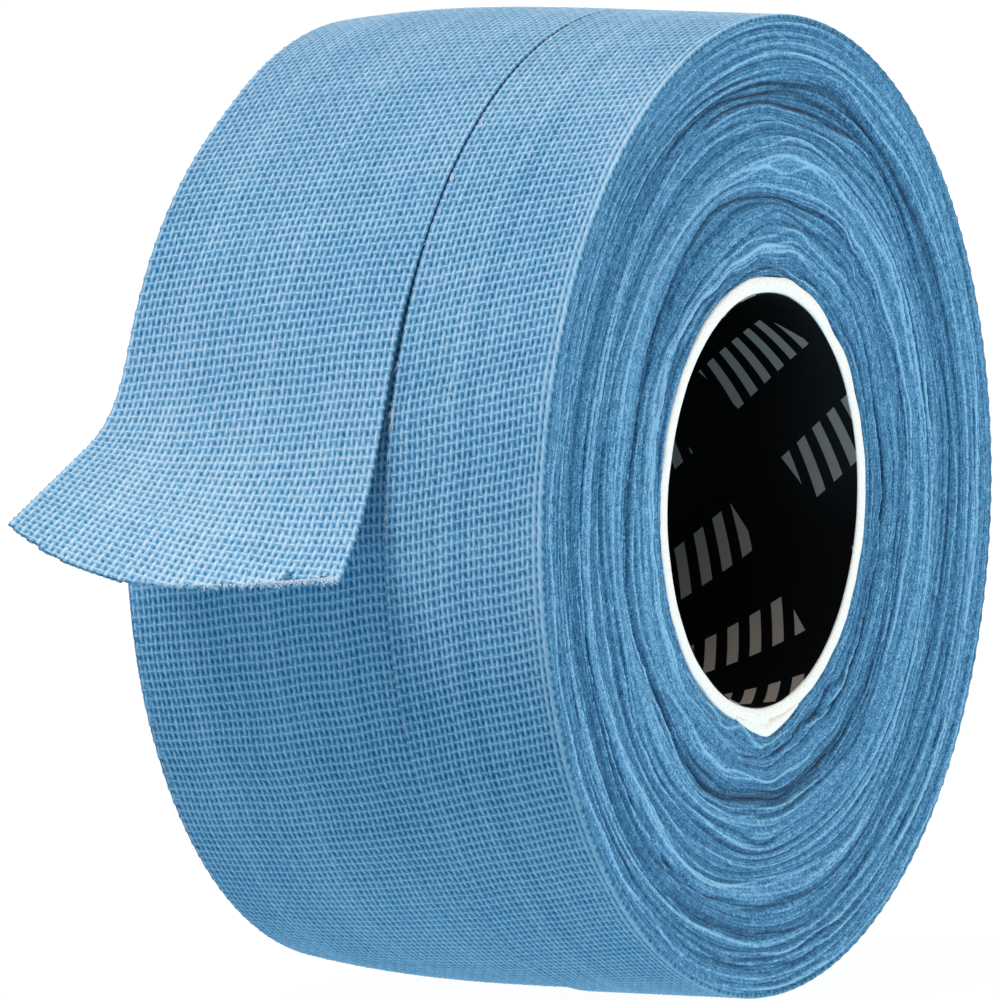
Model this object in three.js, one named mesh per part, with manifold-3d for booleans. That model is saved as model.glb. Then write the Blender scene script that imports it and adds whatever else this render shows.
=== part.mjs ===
// Roll of woven cotton finger tape on a paperboard core, its outer turn slit and partly peeled.
// Millimetres, +Z up. +X runs along the roll's axis, -Y is the side the loose tail hangs on.
// The roll stands on its round side: z = 0 is the flat under it.
import * as THREE from 'three';
import { mergeVertices } from 'three/addons/utils/BufferGeometryUtils.js';
import Module from 'manifold-3d';

const wasm = await Module();
wasm.setup();

// Driving dimensions.
const TAPE_WIDTH = 38;
const ROLL_RADIUS = 39;
const TAPE_THICKNESS = 0.3;
const CORE_OUTER_RADIUS = 17.4;
const CORE_INNER_RADIUS = 16.0;
const LINER_THICKNESS = 0.2;
const LAYER_GAP = 0.03;
const CUT_GAP = 0.3;
const SIDES = 30;

// The lengthwise slit splits the outer turn into a narrow strip and a wide one.
const SLIT_X = 5.0;
// Angles are measured at the axis: 0 is the front, 90 the top, 180 the back, -90 the floor.
const PEEL_ANGLE = 36;
const WIDE_STRIP_END_ANGLE = -72;
const NARROW_STRIP_START_ANGLE = -66;

// Bands of wound turns: outer radius, and how far the band stands out at each end.
const BAND_RADII = [17.44, 20.7, 24.3, 28.2, 31.9, 35.4, 38.34];
const BAND_END_SHIFTS = [-0.2, 0.1, -0.35, 0.25, -0.1, 0.0];
const OUTER_TURN_RADIUS = ROLL_RADIUS - TAPE_THICKNESS - LAYER_GAP;

// The kinked lap of core paper that stands out under the core at the +X end.
const TAB_ANGLE = -92;
const TAB_WIDTH = 8.0;
const TAB_HEIGHT = 1.3;
const TAB_LENGTH = 6.0;

// The tail's two edges. Lengths are measured along the tape from the top of the roll.
// Each lane leaves the roll at lift, drops steeply, then flares away from the roll.
const SLIT_LANE = {
  x: SLIT_X - CUT_GAP, lift: 43, steepEnd: 50, flareStart: 52, flareEnd: 72, steep: 20, flare: 50, end: 67.1,
};
const FAR_LANE = {
  x: -TAPE_WIDTH / 2, lift: 36, steepEnd: 48, flareStart: 46, flareEnd: 58, steep: 24, flare: 66, end: 72.6,
};
const CURL_AT = 54;
const TAIL_LANES = 7;
const TAIL_STEP = 1.5;
const LIFT_CLEARANCE = 0.35;

const halfWidth = TAPE_WIDTH / 2;
const halfSide = Math.PI / SIDES;
const axisHeight = ROLL_RADIUS * Math.cos(halfSide);
const radians = THREE.MathUtils.degToRad;

const colours = {
  linerBlack: 0x15161a,
  board: 0xd9d5cc,
  boardEnd: 0xf0eee8,
  bandBlue: [0x4d8fbc, 0x5699c6, 0x4788b6],
  clothBlue: 0x5fa3cf,
  tailBlue: 0x9cc4de,
};

const model = new THREE.Group();
// The wound roll sits in a group on its axis, so its parts are placed about the axis.
const roll = new THREE.Group();
roll.position.z = axisHeight;
model.add(roll);

function addPart(parent, name, geometry, colour, roughness = 0.9) {
  const material = new THREE.MeshStandardMaterial({ color: colour, roughness, metalness: 0 });
  const mesh = new THREE.Mesh(geometry, material);
  mesh.name = name;
  parent.add(mesh);
  return mesh;
}

function onRoll(angle, radius) {
  return new THREE.Vector2(-radius * Math.cos(angle), radius * Math.sin(angle));
}

// A flat outline in (y, z), extruded along x from x0 to x1.
function extrudeAlongX(shape, x0, x1) {
  const geometry = new THREE.ExtrudeGeometry(shape, { depth: x1 - x0, bevelEnabled: false, steps: 1 });
  // Shape x, y and depth become y, z and x.
  const turn = new THREE.Matrix4().makeBasis(
    new THREE.Vector3(0, 1, 0), new THREE.Vector3(0, 0, 1), new THREE.Vector3(1, 0, 0));
  geometry.applyMatrix4(turn);
  geometry.translate(x0, 0, 0);
  return geometry;
}

// Corner angles of the roll's sides: one side lies flat on the floor.
function cornerAngles(startDegrees, endDegrees) {
  const side = 360 / SIDES;
  const angles = [startDegrees];
  const first = Math.floor(startDegrees / side + 1e-6) + 1;
  for (let k = first; k * side < endDegrees - 1e-6; k += 1) {
    angles.push(k * side);
  }
  angles.push(endDegrees);
  return angles.map(radians);
}

// Radius of the many-sided outline at an angle.
function outlineRadius(angle, cornerRadius) {
  const side = 2 * halfSide;
  const fromMiddle = ((angle % side) + side) % side - halfSide;
  return cornerRadius * Math.cos(halfSide) / Math.cos(fromMiddle);
}

function ring(innerRadius, outerRadius, x0, x1) {
  const outer = [];
  const inner = [];
  for (let k = 0; k < SIDES; k += 1) {
    const angle = 2 * k * halfSide;
    outer.push(onRoll(angle, outerRadius));
    inner.push(onRoll(angle, innerRadius));
  }
  const shape = new THREE.Shape(outer.reverse());
  shape.holes.push(new THREE.Path(inner));
  return extrudeAlongX(shape, x0, x1);
}

function arcStrip(startDegrees, endDegrees, innerRadius, outerRadius, x0, x1) {
  const angles = cornerAngles(startDegrees, endDegrees);
  const outer = angles.map((angle) => onRoll(angle, outlineRadius(angle, outerRadius)));
  const inner = angles.map((angle) => onRoll(angle, outlineRadius(angle, innerRadius))).reverse();
  return extrudeAlongX(new THREE.Shape([...outer, ...inner]), x0, x1);
}

function toSolid(geometry) {
  const bare = geometry.clone();
  bare.deleteAttribute('normal');
  bare.deleteAttribute('uv');
  const merged = mergeVertices(bare.index ? bare.toNonIndexed() : bare, 1e-4);
  const mesh = new wasm.Mesh({
    numProp: 3,
    vertProperties: new Float32Array(merged.attributes.position.array),
    triVerts: new Uint32Array(merged.index.array),
  });
  return new wasm.Manifold(mesh);
}

function fromSolid(solid) {
  const mesh = solid.getMesh();
  const geometry = new THREE.BufferGeometry();
  geometry.setAttribute('position', new THREE.BufferAttribute(new Float32Array(mesh.vertProperties), 3));
  geometry.setIndex(new THREE.BufferAttribute(new Uint32Array(mesh.triVerts), 1));
  geometry.computeVertexNormals();
  return geometry;
}

// Smooth rise from 0 to 1 as value goes from start to end.
function ease(value, start, end) {
  return THREE.MathUtils.smoothstep(value, start, end);
}

// The lane at a fraction across the tail, 0 at the slit and 1 at the far edge.
function laneAt(fraction) {
  const lane = {};
  for (const key of Object.keys(SLIT_LANE)) {
    lane[key] = THREE.MathUtils.lerp(SLIT_LANE[key], FAR_LANE[key], fraction);
  }
  return lane;
}

// Slope of the lane from straight down, as an angle, at a length along the tape.
function laneSlope(lane, length, radius) {
  const woundSlope = Math.PI / 2 - length / radius;
  if (length < lane.lift) return woundSlope;
  const liftSlope = Math.PI / 2 - lane.lift / radius;
  const steepening = (radians(lane.steep) - liftSlope) * ease(length, lane.lift, lane.steepEnd);
  const flaring = radians(lane.flare - lane.steep) * ease(length, lane.flareStart, lane.flareEnd);
  return liftSlope + steepening + flaring;
}

// Points (y, z) and outward normals along a lane between two lengths, walked in fine steps.
function lanePoints(lane, from, to) {
  const radius = ROLL_RADIUS + LIFT_CLEARANCE;
  const start = radians(PEEL_ANGLE);
  const startLength = radius * (Math.PI / 2 - start);
  const fine = 0.1;
  const count = Math.max(2, Math.round((to - from) / TAIL_STEP) + 1);
  const targets = Array.from({ length: count }, (_, i) => from + (to - from) * i / (count - 1));
  const points = [];
  let y = -radius * Math.cos(start);
  let z = radius * Math.sin(start);
  let length = startLength;
  for (const target of targets) {
    while (length < target) {
      const step = Math.min(fine, target - length);
      const slope = laneSlope(lane, length + step / 2, radius);
      y -= Math.sin(slope) * step;
      z -= Math.cos(slope) * step;
      length += step;
    }
    const slope = laneSlope(lane, target, radius);
    points.push({ y, z, normalY: -Math.cos(slope), normalZ: Math.sin(slope) });
  }
  return points;
}

// A closed sheet of the tape's thickness between two lengths along the tail.
function tailSheet(from, endOf) {
  const rows = [];
  for (let i = 0; i < TAIL_LANES; i += 1) {
    const lane = laneAt(i / (TAIL_LANES - 1));
    rows.push({ x: lane.x, points: lanePoints(lane, from, endOf(lane)) });
  }
  const columns = Math.min(...rows.map((row) => row.points.length));
  const positions = [];
  for (const row of rows) {
    for (let j = 0; j < columns; j += 1) {
      const p = row.points[Math.round(j * (row.points.length - 1) / (columns - 1))];
      const half = TAPE_THICKNESS / 2;
      positions.push(row.x, p.y + p.normalY * half, p.z + p.normalZ * half);
      positions.push(row.x, p.y - p.normalY * half, p.z - p.normalZ * half);
    }
  }
  const index = [];
  const at = (i, j, side) => (i * columns + j) * 2 + side;
  const quad = (a, b, c, d) => index.push(a, b, c, a, c, d);
  for (let i = 0; i + 1 < TAIL_LANES; i += 1) {
    for (let j = 0; j + 1 < columns; j += 1) {
      quad(at(i, j, 0), at(i + 1, j, 0), at(i + 1, j + 1, 0), at(i, j + 1, 0));
      quad(at(i, j, 1), at(i, j + 1, 1), at(i + 1, j + 1, 1), at(i + 1, j, 1));
    }
    quad(at(i, 0, 0), at(i, 0, 1), at(i + 1, 0, 1), at(i + 1, 0, 0));
    const last = columns - 1;
    quad(at(i, last, 0), at(i + 1, last, 0), at(i + 1, last, 1), at(i, last, 1));
  }
  for (let j = 0; j + 1 < columns; j += 1) {
    quad(at(0, j, 0), at(0, j + 1, 0), at(0, j + 1, 1), at(0, j, 1));
    const last = TAIL_LANES - 1;
    quad(at(last, j, 0), at(last, j, 1), at(last, j + 1, 1), at(last, j + 1, 0));
  }
  const geometry = new THREE.BufferGeometry();
  geometry.setAttribute('position', new THREE.Float32BufferAttribute(positions, 3));
  geometry.setIndex(index);
  geometry.computeVertexNormals();
  return geometry;
}

function addCore() {
  const linerRadius = CORE_INNER_RADIUS + LINER_THICKNESS;
  const wall = CORE_OUTER_RADIUS - linerRadius;
  addPart(roll, 'core_printed_liner',
    ring(CORE_INNER_RADIUS, linerRadius, -halfWidth, halfWidth), colours.linerBlack, 0.35);
  const middle = linerRadius + wall * 0.6;
  addPart(roll, 'core_inner_ply',
    ring(linerRadius + LAYER_GAP, middle, -halfWidth, halfWidth), colours.board);
  addPart(roll, 'core_outer_ply',
    ring(middle + LAYER_GAP, CORE_OUTER_RADIUS, -halfWidth, halfWidth), colours.boardEnd);
}

// A folded corner of core paper, pointing away from the core.
function tabGeometry(grow) {
  const top = -(CORE_OUTER_RADIUS + CUT_GAP / 2) + grow;
  const tip = top - TAB_HEIGHT - 2 * grow;
  const half = TAB_WIDTH / 2 + 5 * grow;
  const outline = new THREE.Shape([
    new THREE.Vector2(-half, top), new THREE.Vector2(0, tip), new THREE.Vector2(half, top)]);
  const geometry = extrudeAlongX(outline, halfWidth - TAB_LENGTH - grow, halfWidth + grow);
  geometry.rotateX(radians(-90 - TAB_ANGLE));
  return geometry;
}

function addTurns() {
  const pocket = toSolid(tabGeometry(CUT_GAP));
  for (let k = 0; k + 1 < BAND_RADII.length; k += 1) {
    const shift = BAND_END_SHIFTS[k];
    const inner = BAND_RADII[k] + (k === 0 ? 0 : LAYER_GAP);
    const geometry = ring(inner, BAND_RADII[k + 1], -halfWidth + shift, halfWidth + shift);
    const cut = k === 0 ? fromSolid(toSolid(geometry).subtract(pocket)) : geometry;
    addPart(roll, `turns_band_${k + 1}`, cut, colours.bandBlue[k % colours.bandBlue.length]);
  }
  addPart(roll, 'core_seam_tab', tabGeometry(0), colours.boardEnd);
  const lastBand = BAND_RADII[BAND_RADII.length - 1];
  addPart(roll, 'outer_full_turn',
    ring(lastBand + LAYER_GAP, OUTER_TURN_RADIUS, -halfWidth, halfWidth), colours.clothBlue);
}

function addSlitTurn() {
  const inner = OUTER_TURN_RADIUS + LAYER_GAP;
  addPart(roll, 'slit_narrow_strip',
    arcStrip(NARROW_STRIP_START_ANGLE, NARROW_STRIP_START_ANGLE + 358, inner, ROLL_RADIUS,
      SLIT_X, halfWidth), colours.clothBlue);
  const gapAngle = CUT_GAP / ROLL_RADIUS * 180 / Math.PI;
  addPart(roll, 'slit_wide_strip',
    arcStrip(PEEL_ANGLE + gapAngle, WIDE_STRIP_END_ANGLE + 360, inner, ROLL_RADIUS,
      -halfWidth, SLIT_X - CUT_GAP), colours.clothBlue);
}

function addTail() {
  const start = (ROLL_RADIUS + LIFT_CLEARANCE) * (Math.PI / 2 - radians(PEEL_ANGLE));
  addPart(roll, 'tail_root_cloth', tailSheet(start, () => CURL_AT - CUT_GAP / 2), colours.tailBlue);
  addPart(roll, 'tail_tip_cloth', tailSheet(CURL_AT + CUT_GAP / 2, (lane) => lane.end), colours.tailBlue);
}

addCore();
addTurns();
addSlitTurn();
addTail();

export default model;
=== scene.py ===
import math

import bpy
import numpy as np
from mathutils import Matrix, Vector


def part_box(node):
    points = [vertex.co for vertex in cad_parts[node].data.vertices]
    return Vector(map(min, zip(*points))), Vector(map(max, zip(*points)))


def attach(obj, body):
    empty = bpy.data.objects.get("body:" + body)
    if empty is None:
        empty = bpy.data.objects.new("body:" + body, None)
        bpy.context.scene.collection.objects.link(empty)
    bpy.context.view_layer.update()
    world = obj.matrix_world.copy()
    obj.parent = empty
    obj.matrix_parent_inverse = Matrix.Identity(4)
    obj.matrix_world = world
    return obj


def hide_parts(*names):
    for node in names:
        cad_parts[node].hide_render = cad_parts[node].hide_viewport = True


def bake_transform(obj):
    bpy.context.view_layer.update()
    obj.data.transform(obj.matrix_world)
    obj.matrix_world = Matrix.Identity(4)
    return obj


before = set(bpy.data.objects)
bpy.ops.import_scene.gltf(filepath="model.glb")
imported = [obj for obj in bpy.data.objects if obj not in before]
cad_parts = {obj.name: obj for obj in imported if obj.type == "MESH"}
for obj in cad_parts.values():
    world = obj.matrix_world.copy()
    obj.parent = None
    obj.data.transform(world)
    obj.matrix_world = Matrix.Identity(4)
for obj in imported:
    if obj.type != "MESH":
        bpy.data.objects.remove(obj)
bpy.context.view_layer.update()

# A roll of woven cotton tape on a paper core. Its outer turn is slit, and the wide strip peels into a torn
# tail. Lengths are in millimetres, and become metres when a mesh is made.
MM = 0.001
TURN_PITCH = 0.27
TAPE_THICKNESS = 0.27

# Places taken from the frame.
narrow_low, narrow_high = (np.array(corner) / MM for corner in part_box("slit_narrow_strip"))
wide_low, wide_high = (np.array(corner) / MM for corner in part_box("slit_wide_strip"))

NEAR_X = narrow_high[0]
FAR_X = wide_low[0]
# The slit's frayed yarns close it to less than the solids' gap.
SLIT_NEAR_X = narrow_low[0] - 0.04
SLIT_FAR_X = wide_high[0] + 0.04
ROLL_RADIUS = (narrow_high[1] - narrow_low[1]) / 2
CAD_AXIS_Z = (narrow_high[2] + narrow_low[2]) / 2
# The soft roll stands a little above its flat-sided solid, and narrows towards its far edge.
AXIS_Z = CAD_AXIS_Z + 0.35
MEAN_RADIUS = ROLL_RADIUS - 0.10
FULL_RADIUS = ROLL_RADIUS + 0.15
FAR_EDGE_DROP = 1.5
CORE_RADIUS = 17.9
CORE_BORE_RADIUS = 16.45
# The core sits a little above and in front of the roll's middle.
CORE_RAISED = 0.55
CORE_FORWARD = 1.0

# The weave: pitches, half the height a yarn climbs over its neighbour, how far it bulges, its half width.
WARP_PITCH = 0.49
WEFTS_ROUND = 304
WEFT_PITCH = 2 * math.pi * MEAN_RADIUS / WEFTS_ROUND
CRIMP = 0.040
WARP_BULGE = 0.058
WEFT_BULGE = 0.050
WARP_HALF = 0.31
WEFT_HALF = 0.19
GAP_DEPTH = -0.085
YARN_TABLE = 64
# Shares of the tone that come from height and from yarn crests, and what an open gap takes off. Height
# paints shade into the low gaps between yarns, the crests are partly a painted highlight, and what an open
# gap takes off is painted shade.
HEIGHT_TONE = 0.56
CREST_TONE = 0.40
EDGE_TONE = 0.20
GAP_PAINTED_SHADE = -0.09
GAP_SPREAD = 0.10
# How far yarns wander: warps together, each warp, wefts in bows, each weft.
WARP_DRIFT = 0.06
WARP_OWN = 0.018
WEFT_BOW = 0.045
WEFT_OWN = 0.018
# How much the tone varies: by warp, by weft, in clouds, and from point to point.
WARP_TONE = 0.022
WEFT_TONE = 0.012
CLOUD_TONE = 0.018
GRAIN_TONE = 0.06
# Patches of one strip share a seed, so that their yarns run on from one to the next.
NARROW_SEED = 100
WIDE_SEED = 200
# Where the cloth is sampled across a warp yarn and along a weft, as shares of their pitch.
WARP_SAMPLES = (-0.5, -0.26, 0.0, 0.26)
WEFT_SAMPLES = (-0.5, -0.16, 0.0, 0.16)
# Wefts rise towards the near end by this much per length across the tape.
WIDE_SKEW = 0.17
NARROW_SKEW = 0.23

# The tail's edges: lengths along the tape from the top of the roll, and slopes from straight down.
SLIT_LANE = dict(lift=35.4, steep_end=60.8, flare_start=45.7, flare_end=69.9, steep=3.1, flare=46.1)
FAR_LANE = dict(lift=20.0, steep_end=56.0, flare_start=47.3, flare_end=60.2, steep=16.9, flare=68.4)
PEEL_PIECE_START = 18.4
SPLIT_AT = 46.4
# The outer turn winds inwards under the tail by its own thickness.
UNDER_DROP = 0.28
DROP_START_ANGLE = 230
UNDER_START_ANGLE = 66
UNDER_END_ANGLE = -72
# The torn end: its length at the slit, how much longer the far edge is, and how far it bows between them.
TORN_AT_SLIT = 66.75
TORN_SLANT = 6.9
TORN_BOW = 2.6
# How ragged its yarns are, the one notch near the slit, and the fluff behind it.
RAGGED = 0.16
NOTCH_DEPTH = 0.8
NOTCH_AT = 0.155
NOTCH_WIDTH = 0.018
FLUFF_REACH = 1.4
FLUFF_TONE = 0.14
# The tape is painted paler where it hangs free, from one length to the other: painted light, standing in
# for light shining through the stretched tape.
FREE_PAINTED_LIGHT = 0.085
FREE_START = 38
FREE_END = 62


# ---------------------------------------------------------------- meshes

def make_mesh(name, points, quads, attributes=None, uv=None, uv_name="OFBake"):
    """A smooth mesh object from points in millimetres and rows of four corners.

    uv holds a place per point, or per corner of every quad."""
    mesh = bpy.data.meshes.new(name)
    mesh.vertices.add(len(points))
    mesh.vertices.foreach_set("co", (points * MM).astype(np.float32).ravel())
    mesh.loops.add(quads.size)
    mesh.loops.foreach_set("vertex_index", quads.astype(np.int32).ravel())
    mesh.polygons.add(len(quads))
    mesh.polygons.foreach_set("loop_start", np.arange(0, quads.size, 4, dtype=np.int32))
    mesh.update(calc_edges=True)
    for key, values in (attributes or {}).items():
        layer = mesh.attributes.new(key, "FLOAT", "POINT")
        layer.data.foreach_set("value", np.asarray(values, dtype=np.float32).ravel())
    if uv is not None:
        corners = uv[quads.ravel()] if uv.ndim == 2 else uv
        layer = mesh.uv_layers.new(name=uv_name)
        layer.data.foreach_set("uv", corners.astype(np.float32).ravel())
    mesh.shade_smooth()
    piece = bpy.data.objects.new(name, mesh)
    bpy.context.scene.collection.objects.link(piece)
    return piece


def grid_quads(rows, columns, wrap_rows=False, wrap_columns=False):
    """Quads of a grid of points stored row by row."""
    i, j = grid_cells(rows, columns, wrap_rows, wrap_columns)
    next_i = (i + 1) % rows
    next_j = (j + 1) % columns
    corners = [i * columns + j, next_i * columns + j, next_i * columns + next_j, i * columns + next_j]
    return np.stack(corners, axis=-1).reshape(-1, 4)


def grid_cells(rows, columns, wrap_rows, wrap_columns):
    row = np.arange(rows if wrap_rows else rows - 1)
    column = np.arange(columns if wrap_columns else columns - 1)
    return np.meshgrid(row, column, indexing="ij")


def grid_corner_uv(rows, columns, wrap_rows=False, wrap_columns=False):
    """Flat places of every quad's corners, so that a wrapped grid fills the square once."""
    i, j = grid_cells(rows, columns, wrap_rows, wrap_columns)
    v = [i, i + 1, i + 1, i]
    u = [j, j, j + 1, j + 1]
    places = np.stack([np.stack(u, axis=-1) / columns, np.stack(v, axis=-1) / rows], axis=-1)
    return places.reshape(-1, 4, 2)


def ease(value, start, end):
    t = np.clip((value - start) / (end - start), 0, 1)
    return t * t * (3 - 2 * t)


def waves(seed, *axes, count=6, lowest=0.02, highest=0.3):
    """A smooth random field of about unit size over the given coordinates."""
    local = np.random.default_rng(seed)
    total = 0
    for _ in range(count):
        phase = local.uniform(0, 2 * math.pi)
        for axis in axes:
            rate = local.uniform(lowest, highest) * local.choice((-1, 1))
            phase = phase + 2 * math.pi * rate * axis
        total = total + np.sin(phase)
    return total / math.sqrt(count / 2)


# ---------------------------------------------------------------- the tape's run

def radius_at(x):
    return FULL_RADIUS - FAR_EDGE_DROP * np.clip((SLIT_NEAR_X - x) / (SLIT_NEAR_X - FAR_X), 0, 1) ** 3


def length_at(angle_degrees):
    """Length along the tape from the top of the roll down the front to an angle above the front."""
    return math.radians(90 - angle_degrees) * MEAN_RADIUS


def tail_share(x):
    """0 at the slit edge of the wide strip, 1 at its far edge."""
    return np.clip((SLIT_FAR_X - x) / (SLIT_FAR_X - FAR_X), 0, 1)


def lane_value(x, key):
    return SLIT_LANE[key] + (FAR_LANE[key] - SLIT_LANE[key]) * tail_share(x)


def lane_slope(x, length):
    """Slope from straight down of the tape at a length from the top of the roll."""
    wound = math.pi / 2 - length / MEAN_RADIUS
    lift = lane_value(x, "lift")
    at_lift = math.pi / 2 - lift / MEAN_RADIUS
    steep = np.radians(lane_value(x, "steep"))
    flare = np.radians(lane_value(x, "flare"))
    free = at_lift + (steep - at_lift) * ease(length, lift, lane_value(x, "steep_end"))
    free = free + (flare - steep) * ease(length, lane_value(x, "flare_start"), lane_value(x, "flare_end"))
    return np.where(length < lift, wound, np.maximum(free, wound))


def torn_length(x):
    """Length from the top of the roll to the tape's torn end, which bows out."""
    share = tail_share(x)
    return TORN_AT_SLIT + TORN_SLANT * share + TORN_BOW * np.sin(math.pi * share ** 1.6)


def wound_point(x, angle, radius):
    """Point on the wound roll, pressed flat where it meets the floor."""
    y = -radius * np.cos(angle)
    z = AXIS_Z + radius * np.sin(angle)
    return np.stack(np.broadcast_arrays(x, y, np.maximum(z, 0.0)), axis=-1)


def tail_surface(x, length):
    """Points and outward normals of the peeling tape. x and length are grids, rows along the tape."""
    step = 0.1
    start = 20.0
    fine = np.arange(start, length.max() + step, step)
    columns = x[0]
    slope = lane_slope(columns[None, :], fine[:, None] + step / 2)
    first_angle = math.pi / 2 - start / MEAN_RADIUS
    y = -MEAN_RADIUS * np.cos(first_angle) - np.cumsum(np.sin(slope) * step, axis=0)
    z = MEAN_RADIUS * np.sin(first_angle) - np.cumsum(np.cos(slope) * step, axis=0)
    taper = radius_at(columns) / MEAN_RADIUS
    points = np.empty(x.shape + (3,))
    normals = np.empty_like(points)
    for k in range(len(columns)):
        points[:, k, 0] = x[:, k]
        points[:, k, 1] = np.interp(length[:, k], fine + step, y[:, k] * taper[k])
        points[:, k, 2] = AXIS_Z + np.interp(length[:, k], fine + step, z[:, k] * taper[k])
    on_roll = length < start
    angle = math.pi / 2 - length / MEAN_RADIUS
    points[on_roll] = wound_point(x, angle, radius_at(x))[on_roll]
    angle_of = np.where(on_roll, angle, lane_slope(x, length))
    normals[..., 0] = 0
    normals[..., 1] = -np.cos(angle_of)
    normals[..., 2] = np.sin(angle_of)
    return points, normals


def wound_surface(x, length, drop=0.0):
    angle = math.pi / 2 - length / MEAN_RADIUS
    points = wound_point(x, angle, radius_at(x) - drop)
    normals = np.stack(np.broadcast_arrays(0.0, -np.cos(angle), np.sin(angle)), axis=-1)
    return points, normals


def inward_surface(x, length):
    """The wide strip's last stretch, which winds inwards until it lies under the tail."""
    share = ease(length, length_at(DROP_START_ANGLE), length_at(360 + UNDER_END_ANGLE))
    return wound_surface(x, length, UNDER_DROP * share)


def under_surface(x, length):
    return wound_surface(x, length, UNDER_DROP)


# ---------------------------------------------------------------- plain weave

def yarn_random(seed, spread, yarns, count):
    """A random value for each yarn, looked up by yarn number."""
    values = np.random.default_rng(seed).normal(0, spread, count)
    return values[np.round(yarns).astype(int) % count]


def edge_yarns(warp, woven_edges):
    """1 on the outermost warps of the near woven edge, falling to 0 three yarns in."""
    if 1 not in woven_edges:
        return np.zeros_like(warp)
    return 1 - ease(warp.max() - warp, 1.0, 3.0)


def weave(warp, weft, seed, woven_edges):
    """Height in millimetres and tone from 0 to 1 of a plain weave at yarn coordinates. The tone holds
    painted shade in the low gaps and, on the crests, partly a painted highlight.
    """
    warp_no = np.round(warp)
    weft_no = np.round(weft)
    warp_size = 1 + yarn_random(seed, 0.08, warp, YARN_TABLE)
    weft_size = 1 + yarn_random(seed + 1, 0.10, weft, WEFTS_ROUND)
    slub = 1 + 0.12 * waves(seed + 1, warp_no * 7.3, weft, count=5, lowest=0.02, highest=0.09)
    at_edge = edge_yarns(warp, woven_edges)
    across = np.abs(warp - warp_no)
    along = np.abs(weft - weft_no)
    warp_over = np.cos(math.pi * (weft + warp_no))
    weft_over = -np.cos(math.pi * (warp + weft_no))
    warp_top = CRIMP * (warp_over * (1 - at_edge) + at_edge)
    weft_top = CRIMP * (weft_over - 0.6 * at_edge)
    warp_round = WARP_BULGE * warp_size * slub * np.sqrt(np.clip(1 - (across / WARP_HALF) ** 2, 0, 1))
    weft_round = WEFT_BULGE * weft_size * np.sqrt(np.clip(1 - (along / WEFT_HALF) ** 2, 0, 1))
    warp_height = np.where(across < WARP_HALF, warp_top + warp_round, GAP_DEPTH)
    weft_height = np.where(along < WEFT_HALF, weft_top + weft_round, GAP_DEPTH)
    height = np.maximum(np.maximum(warp_height, weft_height), GAP_DEPTH)
    # Low places get a darker tone: painted shade between the yarns.
    shade = (height - GAP_DEPTH) / (CRIMP + WARP_BULGE - GAP_DEPTH)
    # The yarn crests are paler: partly the fibres' own paler colour, partly a painted highlight where light
    # from above would catch the tops of the wefts.
    warp_crest = (0.70 + 0.24 * warp_over) * np.clip(1 - (across / 0.2) ** 2, 0, 1)
    weft_crest = (0.54 + 0.40 * weft_over) * np.clip(1 - (along / 0.14) ** 2, 0, 1)
    crest = np.maximum(warp_crest * (warp_height >= weft_height), weft_crest * (weft_height > warp_height))
    # Open gaps get a further darkening that varies at random: painted shade in the holes of the weave.
    holes = np.random.default_rng(seed + 4).normal(0, GAP_SPREAD, (YARN_TABLE, WEFTS_ROUND))
    hole = holes[np.floor(warp).astype(int) % YARN_TABLE, np.floor(weft).astype(int) % WEFTS_ROUND]
    tone = HEIGHT_TONE * shade + CREST_TONE * np.maximum(crest, EDGE_TONE * at_edge)
    return height, tone + (hole + GAP_PAINTED_SHADE) * (height <= GAP_DEPTH)


def yarn_grid(x0, x1, s0, s1):
    """Yarn coordinates and flat places of a patch, whole yarns across and along."""
    warps = int(round((x1 - x0) / WARP_PITCH))
    first = int(round(s0 / WEFT_PITCH))
    last = int(round(s1 / WEFT_PITCH))
    warp_line = (np.arange(warps)[:, None] + np.array(WARP_SAMPLES)[None, :]).ravel()
    warp_line = np.append(warp_line, warps - 0.5)
    weft_line = (np.arange(first, last)[:, None] + np.array(WEFT_SAMPLES)[None, :]).ravel()
    weft_line = np.append(weft_line, last - 0.5)
    weft, warp = np.meshgrid(weft_line, warp_line, indexing="ij")
    x = x0 + (warp + 0.5) * (x1 - x0) / warps
    length = (weft + 0.5) * WEFT_PITCH
    return warp, weft, x, length


def jitter(warp, weft, x, length, seed):
    """Yarns wander a little from their even places. The patch's outline stays."""
    inside = np.minimum(ease(warp, -0.5, 2.5), ease(-warp, -warp.max(), 3 - warp.max()))
    settled = ease(weft, weft.min(), weft.min() + 4) * ease(-weft, -weft.max(), 4 - weft.max())
    drift = WARP_DRIFT * waves(seed, warp * 0.3, weft, count=8, lowest=0.01, highest=0.12)
    own = yarn_random(seed, WARP_OWN, warp, YARN_TABLE)
    x = x + (drift * settled + own) * inside
    bow = WEFT_BOW * waves(seed + 5, warp, weft * 0.2, count=8, lowest=0.01, highest=0.09)
    return x, length + (bow + yarn_random(seed + 9, WEFT_OWN, weft, WEFTS_ROUND)) * settled


def cloth_tone(warp, weft, tone, seed):
    """Adds yarn by yarn and cloud-like changes of colour to the weave's tone."""
    yarn = yarn_random(seed, WARP_TONE, warp, YARN_TABLE)
    pick = yarn_random(seed + 1, WEFT_TONE, weft, WEFTS_ROUND)
    cloud = CLOUD_TONE * waves(seed + 2, warp, weft, count=8, lowest=0.005, highest=0.04)
    grain = np.random.default_rng(seed).normal(0, GRAIN_TONE, warp.shape)
    return tone + yarn + pick + cloud + grain


def selvedge(warp, weft, x, side):
    """Weft loops that stand out a little past a woven edge, one every second pick."""
    count = np.abs(warp - (warp.max() if side > 0 else warp.min()))
    loop = 0.09 * np.abs(np.sin(math.pi * weft / 2)) ** 0.7
    return x + side * (loop - 0.03) * ease(-count, -1.2, 0)


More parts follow.
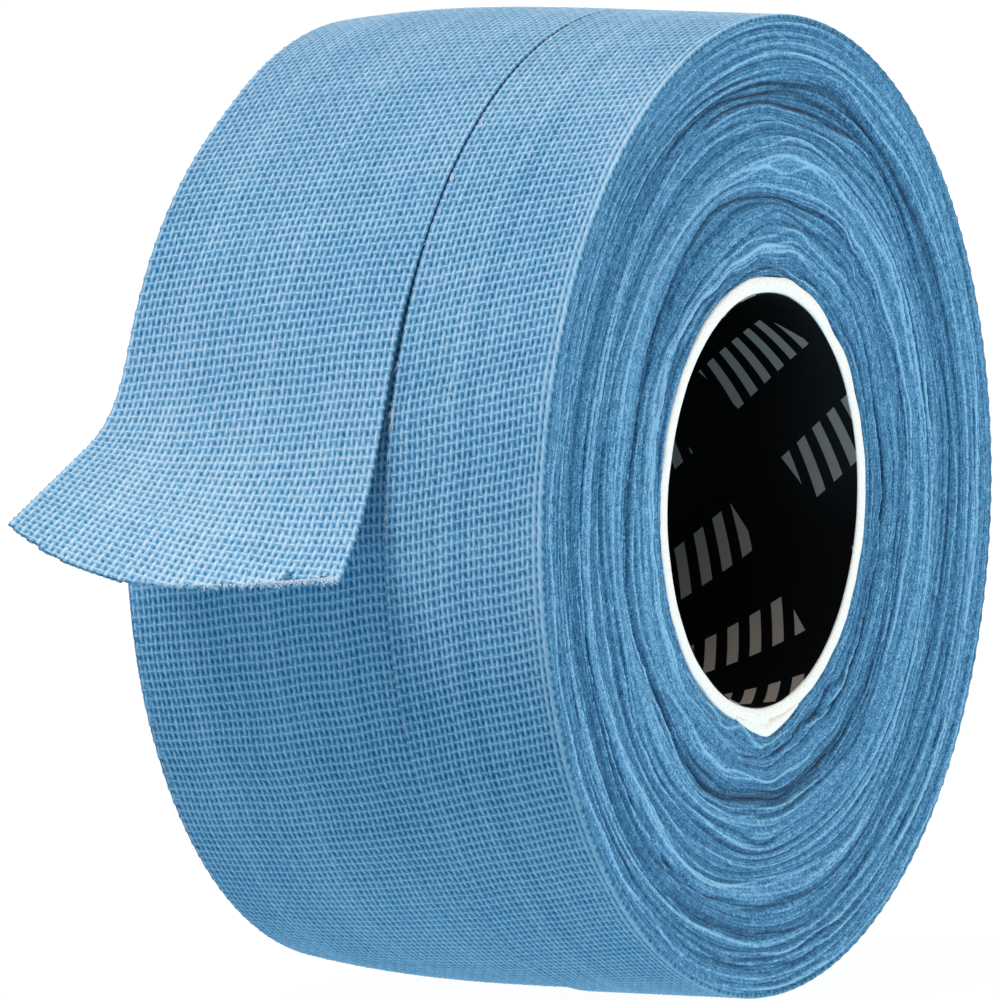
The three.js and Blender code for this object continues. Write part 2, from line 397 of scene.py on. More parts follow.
def woven_patch(x0, x1, s0, s1, surface, seed, skew, woven_edges):
    """Yarn coordinates, tape places, surface points, normals, yarn heights and tones of a patch."""
    warp, weft, x, length = yarn_grid(x0, x1, s0, s1)
    length = length + skew * ((x0 + x1) / 2 - x)
    height, tone = weave(warp, weft, seed, woven_edges)
    x, length = jitter(warp, weft, x, length, seed + 3)
    for side in woven_edges:
        x = selvedge(warp, weft, x, side)
    points, normals = surface(x, length)
    return warp, x, length, points, normals, height, cloth_tone(warp, weft, tone, seed + 7)


def open_patch(name, x0, x1, s0, s1, surface, seed, skew, woven_edges):
    """A patch of tape wound down on other turns: its upper face and the two edges beside it."""
    made = woven_patch(x0, x1, s0, s1, surface, seed, skew, woven_edges)
    points, normals, height, tone = made[3:]
    top = points + normals * height[..., None]
    left = top[:, :1] - normals[:, :1] * TAPE_THICKNESS
    right = top[:, -1:] - normals[:, -1:] * TAPE_THICKNESS
    stack = np.concatenate([left, top, right], axis=1)
    edge = tone[:, :1] * 0.5
    tones = np.concatenate([edge, tone, edge], axis=1)
    rows, columns = tones.shape
    return make_mesh(name, stack.reshape(-1, 3), grid_quads(rows, columns), dict(tone=tones),
                     grid_corner_uv(rows, columns))


def free_patch(name, x0, x1, s0, s1, surface, seed, skew, woven_edges, torn=False):
    """A patch of free tape with both faces and walled edges. A torn one stops at the torn end."""
    warp, x, length, points, normals, height, tone = woven_patch(
        x0, x1, s0, s1, surface, seed, skew, woven_edges)
    keep = np.ones(x.shape, dtype=bool)
    if torn:
        near_slit = 1 - ease(tail_share(x), 0.25, 0.75)
        ragged = yarn_random(seed + 11, RAGGED, warp, YARN_TABLE) * (0.25 + 0.75 * near_slit)
        notch = NOTCH_DEPTH * np.exp(-((tail_share(x) - NOTCH_AT) / NOTCH_WIDTH) ** 2)
        limit = torn_length(x) + ragged - notch
        keep = length <= limit
        fluff = ease(length, limit - FLUFF_REACH, limit) * (0.5 + waves(seed + 13, warp, highest=0.25))
        tone = tone + FLUFF_TONE * fluff * near_slit
    # Painted light: the tape is painted paler where it hangs free.
    tone = tone + FREE_PAINTED_LIGHT * ease(length, FREE_START, FREE_END)
    top = points + normals * height[..., None]
    under_height = np.roll(height, len(WEFT_SAMPLES), axis=0) * 0.7
    under = points - normals * (TAPE_THICKNESS - 0.06 + under_height[..., None])
    return solid_sheet(name, top, under, tone, keep)


def solid_sheet(name, top, under, tone, keep):
    """A sheet with two faces, walled round the edge of its kept part."""
    rows, columns = tone.shape
    count = rows * columns
    quads = grid_quads(rows, columns)
    quads = quads[keep.ravel()[quads].all(axis=1)]
    edges = np.concatenate([quads[:, [k, (k + 1) % 4]] for k in range(4)])
    forward = edges[:, 0] * count + edges[:, 1]
    backward = edges[:, 1] * count + edges[:, 0]
    start, end = edges[~np.isin(forward, backward)].T
    flat = [face.reshape(-1, 3) for face in (top, under)]
    rim = np.stack([flat[0][end], flat[0][start], flat[1][start], flat[1][end]], axis=1)
    points = np.concatenate([*flat, rim.reshape(-1, 3)])
    walls = 2 * count + np.arange(rim.shape[0] * 4).reshape(-1, 4)
    tones = tone.ravel()
    rim_tones = np.stack([tones[end], tones[start], tones[start], tones[end]], axis=1) * 0.8
    tones = np.concatenate([tones, tones * 0.9, rim_tones.ravel()])
    row, column = np.divmod(np.arange(count), columns)
    places = np.stack([column / (2 * columns), row / rows], axis=-1)
    rim_places = np.stack([places[end], places[start], places[start], places[end]], axis=1)
    uv = np.concatenate([places, places + (0.5, 0), rim_places.reshape(-1, 2)])
    quads = np.concatenate([quads, quads[:, ::-1] + count, walls])
    used, quads = np.unique(quads, return_inverse=True)
    quads = quads.reshape(-1, 4)
    return make_mesh(name, points[used], quads, dict(tone=tones[used]), uv[used])


# ---------------------------------------------------------------- loose fibres

def fibre_mesh(name, paths, widths, tones):
    """Tapering fibres of square section. paths holds fibres, points along each, coordinates."""
    count, steps = paths.shape[:2]
    along = np.gradient(paths, axis=1)
    along = along / np.linalg.norm(along, axis=2, keepdims=True)
    side = np.cross(along, (0.31, 0.52, 0.79))
    side = side / np.linalg.norm(side, axis=2, keepdims=True)
    other = np.cross(along, side)
    half = (widths[:, None] / 2 * np.linspace(1, 0.4, steps)[None, :])[..., None]
    corners = np.stack([paths + direction * half for direction in (side, other, -side, -other)], axis=2)
    ring = grid_quads(steps, 4, wrap_columns=True)[:, ::-1]
    last = 4 * (steps - 1)
    one = np.concatenate([ring, [[3, 2, 1, 0]], [[last, last + 1, last + 2, last + 3]]])
    quads = (one[None] + np.arange(count)[:, None, None] * steps * 4).reshape(-1, 4)
    tone = np.repeat(tones, steps * 4)
    return make_mesh(name, corners.reshape(-1, 3), quads, dict(tone=tone))


def stray_fibres(name, surface, x, start, reach, seed, spread, tones):
    """Fibres that start in the cloth and wander off along it."""
    local = np.random.default_rng(seed)
    count = x.size
    t = np.linspace(0, 1, 7)[:, None]
    sideways = local.normal(0, spread, count) * reach
    curl = local.normal(0, 0.10, count) * reach
    outward = np.abs(local.normal(0, 0.30, count)) * reach
    across = x[None] + sideways * t ** 1.5 + curl * np.sin(math.pi * 1.5 * t)
    points, normals = surface(across, start[None] + reach[None] * t)
    lift = 0.03 + outward * t ** 2
    paths = (points + normals * lift[..., None]).transpose(1, 0, 2)
    widths = local.uniform(0.10, 0.20, count)
    return fibre_mesh(name, paths, widths, tones)


# ---------------------------------------------------------------- materials

def principled(name):
    material = bpy.data.materials.new(name)
    material.use_nodes = True
    tree = material.node_tree
    return material, tree, tree.nodes["Principled BSDF"]


def ramp(tree, source, stops):
    node = tree.nodes.new("ShaderNodeValToRGB")
    elements = node.color_ramp.elements
    while len(elements) < len(stops):
        elements.new(0.5)
    for element, (place, colour) in zip(elements, stops):
        element.position = place
        element.color = (*colour, 1)
    tree.links.new(source, node.inputs["Fac"])
    return node.outputs["Color"]


def attribute(tree, name):
    node = tree.nodes.new("ShaderNodeAttribute")
    node.attribute_name = name
    return node.outputs["Fac"]


def noise(tree, scale, detail=3.0, roughness=0.6):
    coordinates = tree.nodes.new("ShaderNodeTexCoord")
    node = tree.nodes.new("ShaderNodeTexNoise")
    node.inputs["Scale"].default_value = scale
    node.inputs["Detail"].default_value = detail
    node.inputs["Roughness"].default_value = roughness
    tree.links.new(coordinates.outputs["Object"], node.inputs["Vector"])
    return node.outputs["Fac"]


def maths(tree, operation, first, second, clamp=False):
    node = tree.nodes.new("ShaderNodeMath")
    node.operation = operation
    node.use_clamp = clamp
    for socket, value in zip(node.inputs, (first, second)):
        if isinstance(value, (int, float)):
            socket.default_value = value
        else:
            tree.links.new(value, socket)
    return node.outputs[0]


def bump(tree, shader, height, strength, distance):
    node = tree.nodes.new("ShaderNodeBump")
    node.inputs["Strength"].default_value = strength
    node.inputs["Distance"].default_value = distance
    tree.links.new(height, node.inputs["Height"])
    tree.links.new(node.outputs["Normal"], shader.inputs["Normal"])


def cloth_material(name, stops, fibre_scale=9000.0, grain=0.30, mottle=0.0):
    """Cotton: tone from the yarns, broken up by fine fibres and, on cut ends, by soft mottling."""
    material, tree, shader = principled(name)
    fibres = noise(tree, fibre_scale)
    broken = maths(tree, "MULTIPLY", maths(tree, "SUBTRACT", fibres, 0.5), grain)
    tone = maths(tree, "ADD", attribute(tree, "tone"), broken)
    if mottle:
        patches = maths(tree, "SUBTRACT", noise(tree, fibre_scale * 0.2, detail=4.0), 0.5)
        tone = maths(tree, "ADD", tone, maths(tree, "MULTIPLY", patches, mottle))
    tree.links.new(ramp(tree, tone, stops), shader.inputs["Base Color"])
    shader.inputs["Roughness"].default_value = 0.92
    shader.inputs["Specular IOR Level"].default_value = 0.25
    shader.inputs["Sheen Weight"].default_value = 0.20
    shader.inputs["Sheen Roughness"].default_value = 0.5
    shader.inputs["Sheen Tint"].default_value = (0.85, 0.93, 1.0, 1)
    bump(tree, shader, fibres, 0.5, 0.00006)
    return material


# The cloth's colours from low to high tone: the dark end is painted shade in the gaps between yarns, and
# the pale end is the yarn crests, partly a painted highlight.
CLOTH_STOPS = (
    (0.0, (0.012, 0.090, 0.195)),
    (0.35, (0.075, 0.258, 0.445)),
    (0.60, (0.225, 0.450, 0.650)),
    (0.95, (0.530, 0.620, 0.695)),
)
END_STOPS = (
    (0.0, (0.002, 0.032, 0.085)),
    (0.35, (0.020, 0.120, 0.260)),
    (0.65, (0.075, 0.260, 0.480)),
    (1.0, (0.260, 0.530, 0.780)),
)


def board_material():
    material, tree, shader = principled("core_board")
    fibres = noise(tree, 4000.0, detail=5.0)
    stops = ((0.3, (0.78, 0.77, 0.74)), (0.5, (0.93, 0.93, 0.92)))
    tree.links.new(ramp(tree, fibres, stops), shader.inputs["Base Color"])
    shader.inputs["Roughness"].default_value = 0.8
    bump(tree, shader, fibres, 0.5, 0.0001)
    return material


# The liner's print: rows of slanted bars in groups, in millimetres round and along the bore.
PRINT_ROW_PITCH = 9.6
PRINT_ROW_HEIGHT = 4.4
PRINT_BAR_PITCH = 2.0
PRINT_BAR_WIDTH = 1.0
PRINT_GROUP_PITCH = 17.0
PRINT_GROUP_WIDTH = 11.0
PRINT_SLOPE = math.radians(50)


def print_band(tree, place, pitch, width):
    """1 inside stripes of a width that repeat at a pitch, 0 between."""
    return maths(tree, "LESS_THAN", maths(tree, "PINGPONG", place, pitch / 2), width / 2)


def liner_material():
    """Black varnished paper printed with rows of slanted grey bars."""
    material, tree, shader = principled("core_liner_print")
    uv = tree.nodes.new("ShaderNodeUVMap")
    uv.uv_map = "print"
    split = tree.nodes.new("ShaderNodeSeparateXYZ")
    tree.links.new(uv.outputs["UV"], split.inputs["Vector"])
    around, along = split.outputs["X"], split.outputs["Y"]
    cosine, sine = math.cos(PRINT_SLOPE), math.sin(PRINT_SLOPE)
    row = maths(tree, "ADD", maths(tree, "MULTIPLY", around, sine), maths(tree, "MULTIPLY", along, cosine))
    run = maths(tree, "SUBTRACT", maths(tree, "MULTIPLY", along, sine),
                maths(tree, "MULTIPLY", around, cosine))
    leaning = maths(tree, "ADD", run, maths(tree, "MULTIPLY", row, 0.35))
    in_row = print_band(tree, row, PRINT_ROW_PITCH, PRINT_ROW_HEIGHT)
    bars = print_band(tree, leaning, PRINT_BAR_PITCH, PRINT_BAR_WIDTH)
    group = print_band(tree, run, PRINT_GROUP_PITCH, PRINT_GROUP_WIDTH)
    mark = maths(tree, "MULTIPLY", maths(tree, "MULTIPLY", in_row, bars), group)
    stops = ((0.0, (0.0012, 0.0012, 0.0013)), (1.0, (0.270, 0.245, 0.225)))
    tree.links.new(ramp(tree, mark, stops), shader.inputs["Base Color"])
    shader.inputs["Roughness"].default_value = 0.42
    shader.inputs["Specular IOR Level"].default_value = 0.12
    bump(tree, shader, noise(tree, 900.0), 0.15, 0.0001)
    return material


# ---------------------------------------------------------------- tape pieces

cloth = cloth_material("tape_cloth", CLOTH_STOPS)
wound_edges = cloth_material("wound_edges", END_STOPS, fibre_scale=6500.0, grain=1.5, mottle=0.5)
board = board_material()
liner = liner_material()


def finish_piece(piece, material, body, replaced=()):
    piece.data.materials.append(material)
    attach(piece, body)
    if replaced:
        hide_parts(*replaced)


def wound_sheet(piece, replaced):
    finish_piece(piece, cloth, "roll", (replaced,))


def add_narrow_strip():
    ends = [length_at(angle) for angle in (24, 144, 264, 384)]
    for k in range(3):
        piece = open_patch(f"narrow_strip_cloth_{k + 1}", SLIT_NEAR_X, NEAR_X, ends[k + 1], ends[k],
                           wound_surface, NARROW_SEED, NARROW_SKEW, (1,))
        wound_sheet(piece, "slit_narrow_strip")


def add_wide_strip():
    ends = [PEEL_PIECE_START, length_at(176), length_at(360 + UNDER_END_ANGLE)]
    for k, surface in enumerate((wound_surface, inward_surface)):
        piece = open_patch(f"wide_strip_cloth_{k + 1}", FAR_X, SLIT_FAR_X, ends[k + 1], ends[k],
                           surface, WIDE_SEED, WIDE_SKEW, (-1,))
        wound_sheet(piece, "slit_wide_strip")


def add_under_turn():
    start, end = length_at(UNDER_START_ANGLE), length_at(UNDER_END_ANGLE)
    near_edge = SLIT_NEAR_X + 0.2
    piece = open_patch("under_turn_cloth", FAR_X, near_edge, start, end, under_surface,
                       WIDE_SEED, WIDE_SKEW, (-1,))
    wound_sheet(piece, "outer_full_turn")


def bend(piece):
    """Bakes the piece's placement into its points."""
    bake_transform(piece)


def add_tail():
    peel = free_patch("peel_cloth", FAR_X, SLIT_FAR_X, PEEL_PIECE_START, SPLIT_AT, tail_surface,
                      WIDE_SEED, WIDE_SKEW, (-1,))
    peel.data.materials.append(cloth)
    bend(peel)
    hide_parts("tail_root_cloth")
    places = np.linspace(FAR_X, SLIT_FAR_X, 50)
    tail = free_patch("tail_cloth", FAR_X, SLIT_FAR_X, SPLIT_AT, torn_length(places).max() + 3,
                      tail_surface, WIDE_SEED, WIDE_SKEW, (-1,), torn=True)
    tail.data.materials.append(cloth)
    bend(tail)
    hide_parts("tail_tip_cloth")


def add_torn_threads():
    """Yarn ends and fluff along the torn end, thickest by the slit."""
    local = np.random.default_rng(77)
    share = np.concatenate([local.uniform(0.01, 0.99, 50), local.uniform(0.01, 0.22, 110),
                            local.uniform(0.22, 0.60, 90)])
    x = SLIT_FAR_X - share * (SLIT_FAR_X - FAR_X)
    thick = ease(-share, -0.7, -0.1)
    reach = np.clip(local.gamma(2.2, 0.16, x.size), 0.08, 0.8) * (0.30 + 0.70 * thick)
    tones = local.uniform(0.50, 0.80, x.size) + 0.20 * thick
    piece = stray_fibres("torn_end_threads", tail_surface, x, torn_length(x) - 0.25, reach + 0.2,
                         78, 0.45, tones)
    finish_piece(piece, cloth, "tail_tip")


def add_slit_fibres():
    """A few loose fibres along the slit, with one tuft where the tape lifts away."""
    local = np.random.default_rng(87)
    spaced = local.uniform(length_at(80), length_at(-60), 26)
    tuft = local.normal(length_at(14), 0.8, 14)
    along = np.concatenate([spaced, tuft])
    x = np.full(along.size, SLIT_NEAR_X + 0.15) + local.normal(0, 0.10, along.size)
    reach = local.uniform(0.4, 1.1, along.size)
    tones = local.uniform(0.7, 1.0, along.size)
    piece = stray_fibres("slit_loose_fibres", wound_surface, x, along, reach, 88, 0.25, tones)
    finish_piece(piece, cloth, "roll")


# ---------------------------------------------------------------- wound ends

BAND_EDGES = (CORE_RADIUS, 20.7, 24.3, 28.2, 31.9, 35.4, MEAN_RADIUS - 0.28)
ROUND_STEPS = 900
TURN_SAMPLES = (0.02, 0.33, 0.67)
TURNS = int(round((BAND_EDGES[-1] - BAND_EDGES[0]) / TURN_PITCH))


# Stretches of turns that stand in or out: how many, by how much, how far round, how wide, and their tone.
# Sunken grooves are painted darker, as painted shade, and standing ridges paler, as painted light.
GROOVES = dict(count=26, outward=-1, sizes=(0.12, 0.34), spreads=(0.35, 1.3), width=0.62, tone=-0.34)
RIDGES = dict(count=56, outward=1, sizes=(0.06, 0.16), spreads=(0.20, 1.1), width=0.38, tone=0.44)


class EndRelief:
    """How far each wound turn stands out at one end of the roll, and its tone, with painted shade in the
    grooves and painted light on the ridges.
    """

    def __init__(self, seed):
        local = np.random.default_rng(seed)
        self.seed = seed
        self.turn_shift = local.normal(0, 0.04, TURNS + 2)
        self.turn_tone = local.normal(0, 0.07, TURNS + 2)
        self.loop_phase = local.uniform(0, math.pi, TURNS + 2)
        self.streaks = []
        for kind in (GROOVES, RIDGES):
            self.streaks += [(kind, self.streak(local, kind)) for _ in range(kind["count"])]

    def streak(self, local, kind):
        """One stretch of a turn: its place, size, middle angle, spread and seed."""
        return (local.uniform(2, TURNS - 1), local.uniform(*kind["sizes"]), local.uniform(0, 2 * math.pi),
                local.uniform(*kind["spreads"]), int(local.integers(1000)))

    def near_streak(self, streak, width, turn, angle):
        """The stretch's size, and how near each point is to it, from 0 to 1."""
        place, size, facing, spread, seed = streak
        wander = 0.55 * waves(seed, np.cos(angle) * 5, np.sin(angle) * 5, count=5, lowest=0.05, highest=0.7)
        across = ((turn - place - wander) / width) ** 2
        return size, np.exp(-across + (np.cos(angle - facing) - 1) / spread ** 2)

    def at(self, turn, angle):
        number = np.clip(np.floor(turn).astype(int), 0, TURNS + 1)
        share = turn - np.floor(turn) - 0.5
        cap = np.sqrt(np.clip(1 - (2 * share) ** 2, 0, 1))
        cosine, sine = np.cos(angle), np.sin(angle)
        drift = 0.10 * waves(self.seed, turn, cosine * 3, sine * 3, count=7, lowest=0.01, highest=0.07)
        own = waves(self.seed + 2, number * 1.0, cosine * 3, sine * 3, count=9, lowest=0.12, highest=0.49)
        radius = CORE_RADIUS + turn * TURN_PITCH
        loops = 0.05 * np.abs(np.sin(math.pi * radius * angle / (2 * WEFT_PITCH) + self.loop_phase[number]))
        speckle = np.random.default_rng(self.seed + 5).normal(0, 1, turn.shape)
        out = self.turn_shift[number] + drift + 0.08 * cap + loops + 0.035 * own + 0.022 * speckle
        tone = 0.33 + self.turn_tone[number] + 0.24 * cap + 1.5 * (loops - 0.025)
        tone = tone + 0.075 * own + 0.10 * speckle + 0.5 * drift
        for kind, streak in self.streaks:
            size, near = self.near_streak(streak, kind["width"], turn, angle)
            out = out + kind["outward"] * size * near
            # Grooves add painted shade and ridges add painted light to the tone.
            tone = tone + kind["tone"] * near
        return out, tone


# The core paper's kink, under the core at the near end.
TAB_ANGLE = math.radians(-92)
TAB_HALF_ANGLE = math.radians(17)
TAB_HEIGHT = 1.15
# Turns ripple all through, crumple near the core, and buckle at one place.
RIPPLE = 0.22
CRUMPLE = 0.09
BUCKLE = 0.28
BUCKLE_ANGLE = math.radians(128)
BUCKLE_RADIUS = 23.5


def tab_rise(angle):
    """How far the kinked core paper stands out at an angle round the core."""
    away = np.abs((angle - TAB_ANGLE + math.pi) % (2 * math.pi) - math.pi) / TAB_HALF_ANGLE
    return TAB_HEIGHT * np.clip(1.06 - np.sqrt(away ** 2 + 0.0036), 0, 1)


def radial_shift(radius, angle, near_end):
    """Turns follow the raised core and its kink, and ripple near it. Angle 0 is the front."""
    inner = np.clip((MEAN_RADIUS - radius) / (MEAN_RADIUS - CORE_RADIUS), 0, 1)
    raised = (CORE_RAISED * np.sin(angle) + CORE_FORWARD * np.cos(angle)) * inner
    inside = ease(inner, 0.0, 0.35) * ease(-inner, -1.0, -0.93)
    cosine, sine = np.cos(angle), np.sin(angle)
    ripple = RIPPLE * waves(61, radius * 0.9, cosine * 6, sine * 6, count=9, lowest=0.02, highest=0.22)
    crumple = CRUMPLE * waves(63, radius * 0.7, cosine * 17, sine * 17, count=9, lowest=0.05, highest=0.3)
    crumple = crumple * ease(inner, 0.45, 0.95)
    away = (angle - BUCKLE_ANGLE) * BUCKLE_RADIUS
    folds = np.cos(away * 0.75 + radius * 0.9) + 0.5 * np.sin(away * 1.9 - radius)
    buckle = BUCKLE * folds * np.exp(-(away / 3.6) ** 2 - ((radius - BUCKLE_RADIUS) / 3.0) ** 2)
    kink = tab_rise(angle) * np.exp(-(radius - CORE_RADIUS) / 3.5) if near_end else 0
    return raised + kink + (ripple + crumple + buckle) * inside


def add_wound_turns():
    angle = np.arange(ROUND_STEPS) * 2 * math.pi / ROUND_STEPS
    ends = {1: EndRelief(31), -1: EndRelief(47)}
    for k in range(6):
        first = int(round((BAND_EDGES[k] - CORE_RADIUS) / TURN_PITCH))
        last = int(round((BAND_EDGES[k + 1] - CORE_RADIUS) / TURN_PITCH))
        turns = (np.arange(first, last)[:, None] + np.array(TURN_SAMPLES)[None, :]).ravel()
        turns = np.append(turns, last - 0.02)
        profile = []
        tones = []
        for side in (1, -1):
            turn, around = np.meshgrid(turns if side > 0 else turns[::-1], angle, indexing="ij")
            out, tone = ends[side].at(turn, around)
            radius = CORE_RADIUS + turn * TURN_PITCH
            x = side * (NEAR_X - 0.05 + out)
            outer = (radius - CORE_RADIUS) / (MEAN_RADIUS - CORE_RADIUS)
            radius = radius + radial_shift(radius, around, side > 0) + (radius_at(x) - MEAN_RADIUS) * outer
            profile.append(wound_point(x, around, radius))
            tones.append(tone)
        points = np.concatenate(profile)
        tone = np.concatenate(tones)
        rows = points.shape[0]
        quads = grid_quads(rows, ROUND_STEPS, wrap_rows=True, wrap_columns=True)[:, ::-1]
        uv = grid_corner_uv(rows, ROUND_STEPS, wrap_rows=True, wrap_columns=True)[:, ::-1]
        piece = make_mesh(f"wound_turns_{k + 1}", points.reshape(-1, 3), quads, dict(tone=tone), uv)
        finish_piece(piece, wound_edges, "roll", (f"turns_band_{k + 1}",))


# ---------------------------------------------------------------- core

def ring_piece(name, inner, outer, half_length, wobble, seed, material, replaced):
    """A closed ring about the raised core's axis with rounded, slightly uneven ends."""
    steps = 360
    corner = min(0.12, (outer - inner) / 3)
    middle = (inner + outer) / 2
    near_face = [(half_length - corner, inner), (half_length, inner + corner), (half_length, middle),
                 (half_length, outer - corner), (half_length - corner, outer)]
    far_face = [(-x, radius) for x, radius in reversed(near_face)]
    outline = near_face + [(0, outer)] + far_face + [(0, inner)]
    angle = np.arange(steps) * 2 * math.pi / steps
    cosine, sine = np.cos(angle), np.sin(angle)
    rows = []
    around = []
    for x, radius in outline:
        uneven = wobble * waves(seed, cosine * 9, sine * 9, count=9, lowest=0.05, highest=0.6)
        r = radius + (uneven if radius > middle else 0.3 * uneven)
        end = x + 0.5 * np.sign(x) * wobble * waves(seed + 3, cosine * 7, sine * 7, count=6)
        y = -CORE_FORWARD - r * cosine
        z = AXIS_Z + CORE_RAISED + r * sine
        rows.append(np.stack([end, y, z], axis=-1))
        around.append(np.stack([angle * CORE_BORE_RADIUS, np.full(steps, x)], axis=-1))
    points = np.concatenate(rows)
    uv = np.concatenate(around)
    quads = grid_quads(len(outline), steps, wrap_rows=True, wrap_columns=True)
    piece = make_mesh(name, points, quads, uv=uv, uv_name="print")
    finish_piece(piece, material, "roll", replaced)
    return piece


def add_core():
    ring_piece("core_board_ring", CORE_BORE_RADIUS + 0.12, CORE_RADIUS - 0.05, NEAR_X + 0.05, 0.05, 81,
               board, ("core_inner_ply", "core_outer_ply"))
    ring_piece("core_liner_sleeve", CORE_BORE_RADIUS, CORE_BORE_RADIUS + 0.1, NEAR_X - 0.05, 0.01, 82,
               liner, ("core_printed_liner",))


def add_paper_tab():
    """The kinked lap of core paper: a ridge under the core, thickest at the near end."""
    across = np.linspace(-1.04, 1.04, 41)
    depth = np.array((0.0, 0.06, 0.3, 2.0, 4.0, 6.0))
    fade = np.array((0.93, 1.0, 1.0, 0.9, 0.6, 0.05))
    angle = TAB_ANGLE + across * TAB_HALF_ANGLE
    rows = []
    for back, share in zip(depth, fade):
        outer = CORE_RADIUS - 0.1 + tab_rise(angle) * share
        inner = np.full(across.size, CORE_RADIUS - 0.35)
        radius = np.concatenate([outer, inner[::-1]])
        around = np.concatenate([angle, angle[::-1]])
        x = np.full(radius.size, NEAR_X + 0.06 - back)
        z = AXIS_Z + CORE_RAISED + radius * np.sin(around)
        rows.append(np.stack([x, -CORE_FORWARD - radius * np.cos(around), z], axis=-1))
    points = np.concatenate(rows)
    loop = rows[0].shape[0]
    quads = grid_quads(len(rows), loop, wrap_columns=True)
    ends = []
    half = across.size
    for base, turned in ((0, False), ((len(rows) - 1) * loop, True)):
        i = np.arange(half - 1)
        cap = base + np.stack([i, i + 1, loop - 2 - i, loop - 1 - i], axis=1)
        ends.append(cap[:, ::-1] if turned else cap)
    quads = np.concatenate([quads, *ends])
    piece = make_mesh("core_paper_tab", points, quads)
    finish_piece(piece, board, "roll", ("core_seam_tab",))


# ---------------------------------------------------------------- stage

CAMERA_AZIMUTH = math.radians(27.6)
CAMERA_ELEVATION = math.radians(4.3)
CAMERA_DISTANCE = 3000.0
VIEW_WIDTH = 79.872
SENSOR = 36.0
# The view is centred left of the roll, because the tail reaches out there.
AIM_LEFT = 4.6
AIM_DOWN = 0.15
# The floor is just under the lowest yarns.
FLOOR_REACH = 4000.0
FLOOR_Z = -0.13
FLOOR_SEEN = 0.965
FLOOR_SHADE = (0.07, 0.07, 0.07)

# The lamps are nearly white, and the floor and air are cool: the cloth is pale where lit and blue in shade.
SKY_COLOUR = (0.09, 0.14, 0.18)
FLOOR_GLOW = (0.51, 0.775, 0.915)
KEY_TOWARDS = (-0.25, -0.46, 0.92)
KEY_COLOUR = (1.0, 0.93, 0.91)
KEY_STRENGTH = 3.25
KEY_SPREAD = 0.4
END_TOWARDS = (0.95, 0.12, 0.25)
END_COLOUR = (1.0, 0.88, 0.75)
END_STRENGTH = 2.5
END_SPREAD = 0.6
BACK_TOWARDS = (-0.75, 0.60, 0.12)
BACK_STRENGTH = 1.3


def add_camera():
    a, e = CAMERA_AZIMUTH, CAMERA_ELEVATION
    out = np.array([math.sin(a) * math.cos(e), -math.cos(a) * math.cos(e), math.sin(e)])
    right = np.array([math.cos(a), math.sin(a), 0])
    up = np.cross(out, right)
    target = np.array([0, 0, AXIS_Z]) - right * AIM_LEFT - up * AIM_DOWN
    data = bpy.data.cameras.new("main_camera")
    data.sensor_width = SENSOR
    data.lens = SENSOR * CAMERA_DISTANCE / VIEW_WIDTH
    data.clip_end = 50
    camera = bpy.data.objects.new("main_camera", data)
    bpy.context.scene.collection.objects.link(camera)
    camera.location = (target + out * CAMERA_DISTANCE) * MM
    camera.rotation_euler = Matrix((right, up, out)).transposed().to_4x4().to_euler()
    bpy.context.scene.camera = camera


def add_lamp(name, towards, strength, colour, spread):
    """A broad distant lamp. towards points from the roll to the lamp."""
    data = bpy.data.lights.new(name, "SUN")
    data.energy = strength
    data.color = colour
    data.angle = spread
    lamp = bpy.data.objects.new(name, data)
    lamp.location = towards
    lamp.rotation_euler = (-Vector(towards)).to_track_quat("-Z", "Y").to_euler()
    bpy.context.scene.collection.objects.link(lamp)


def shader_node(tree, kind, colour, strength=None):
    node = tree.nodes.new(kind)
    node.inputs["Color"].default_value = (*colour, 1)
    if strength is not None:
        node.inputs["Strength"].default_value = strength
    return node.outputs[0]


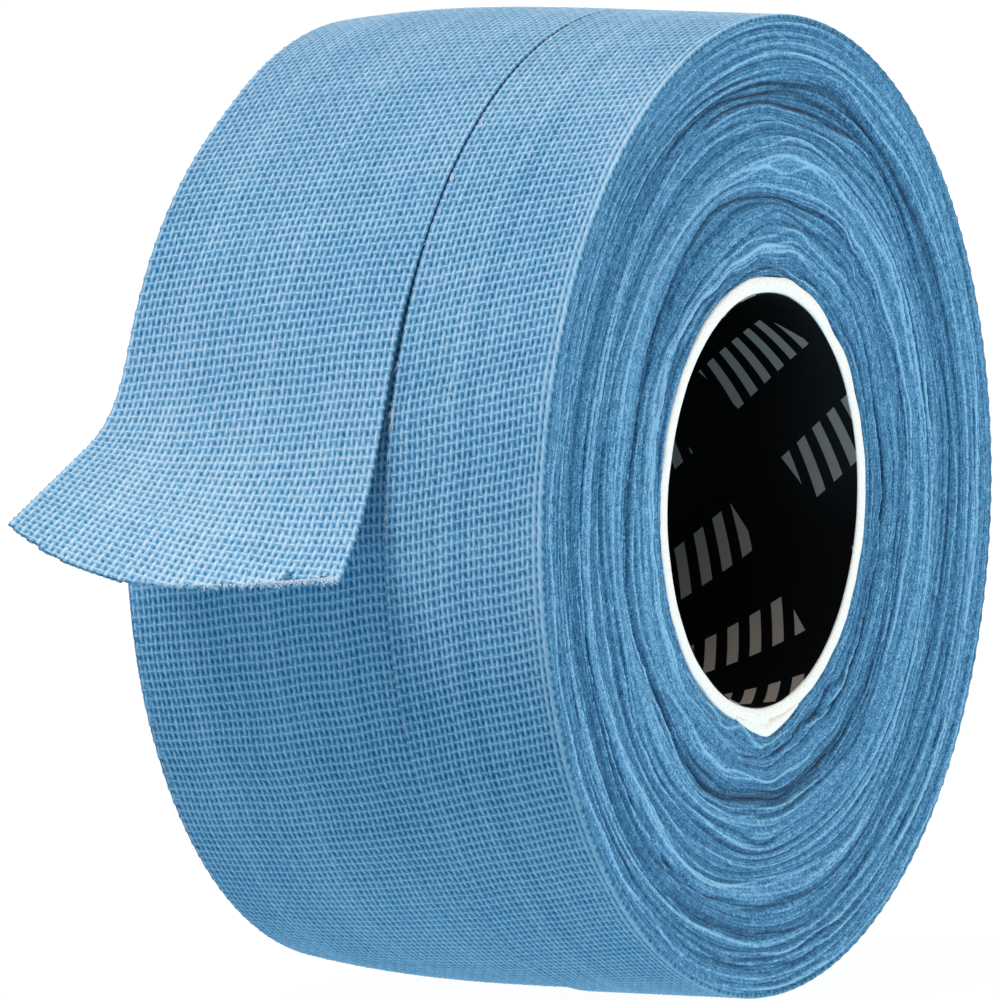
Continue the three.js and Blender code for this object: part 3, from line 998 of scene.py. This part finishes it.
def seen_or_bounced(tree, seen, bounced, output):
    """One look for what is seen directly, another for the light that is passed on."""
    path = tree.nodes.new("ShaderNodeLightPath")
    mix = tree.nodes.new("ShaderNodeMixShader")
    tree.links.new(path.outputs["Is Camera Ray"], mix.inputs["Fac"])
    tree.links.new(bounced, mix.inputs[1])
    tree.links.new(seen, mix.inputs[2])
    tree.links.new(mix.outputs[0], tree.nodes[output].inputs["Surface"])


def add_world():
    world = bpy.data.worlds.new("studio")
    world.use_nodes = True
    tree = world.node_tree
    seen = shader_node(tree, "ShaderNodeBackground", (1, 1, 1), 1.0)
    lit = shader_node(tree, "ShaderNodeBackground", SKY_COLOUR, 1.0)
    seen_or_bounced(tree, seen, lit, "World Output")
    bpy.context.scene.world = world


def add_floor():
    """A white floor that shows only a faint shadow, and throws cool light back up."""
    corners = FLOOR_REACH * np.array([(-1, -1, 0), (1, -1, 0), (1, 1, 0), (-1, 1, 0)], dtype=float)
    corners[:, 2] = FLOOR_Z
    floor = make_mesh("floor", corners, np.array([[0, 1, 2, 3]]))
    material, tree, _ = principled("pale_floor")
    add = tree.nodes.new("ShaderNodeAddShader")
    tree.links.new(shader_node(tree, "ShaderNodeEmission", (1, 1, 1), FLOOR_SEEN), add.inputs[0])
    tree.links.new(shader_node(tree, "ShaderNodeBsdfDiffuse", FLOOR_SHADE), add.inputs[1])
    bounced = shader_node(tree, "ShaderNodeEmission", FLOOR_GLOW, 1.0)
    seen_or_bounced(tree, add.outputs[0], bounced, "Material Output")
    floor.data.materials.append(material)


def add_stage():
    bpy.context.scene.view_settings.view_transform = "Standard"
    add_world()
    add_floor()
    add_lamp("key_lamp", KEY_TOWARDS, KEY_STRENGTH, KEY_COLOUR, KEY_SPREAD)
    add_lamp("end_lamp", END_TOWARDS, END_STRENGTH, END_COLOUR, END_SPREAD)
    add_lamp("back_lamp", BACK_TOWARDS, BACK_STRENGTH, END_COLOUR, END_SPREAD)


add_camera()
add_stage()
add_wound_turns()
add_narrow_strip()
add_wide_strip()
add_under_turn()
add_tail()
add_torn_threads()
add_slit_fibres()
add_core()
add_paper_tab()
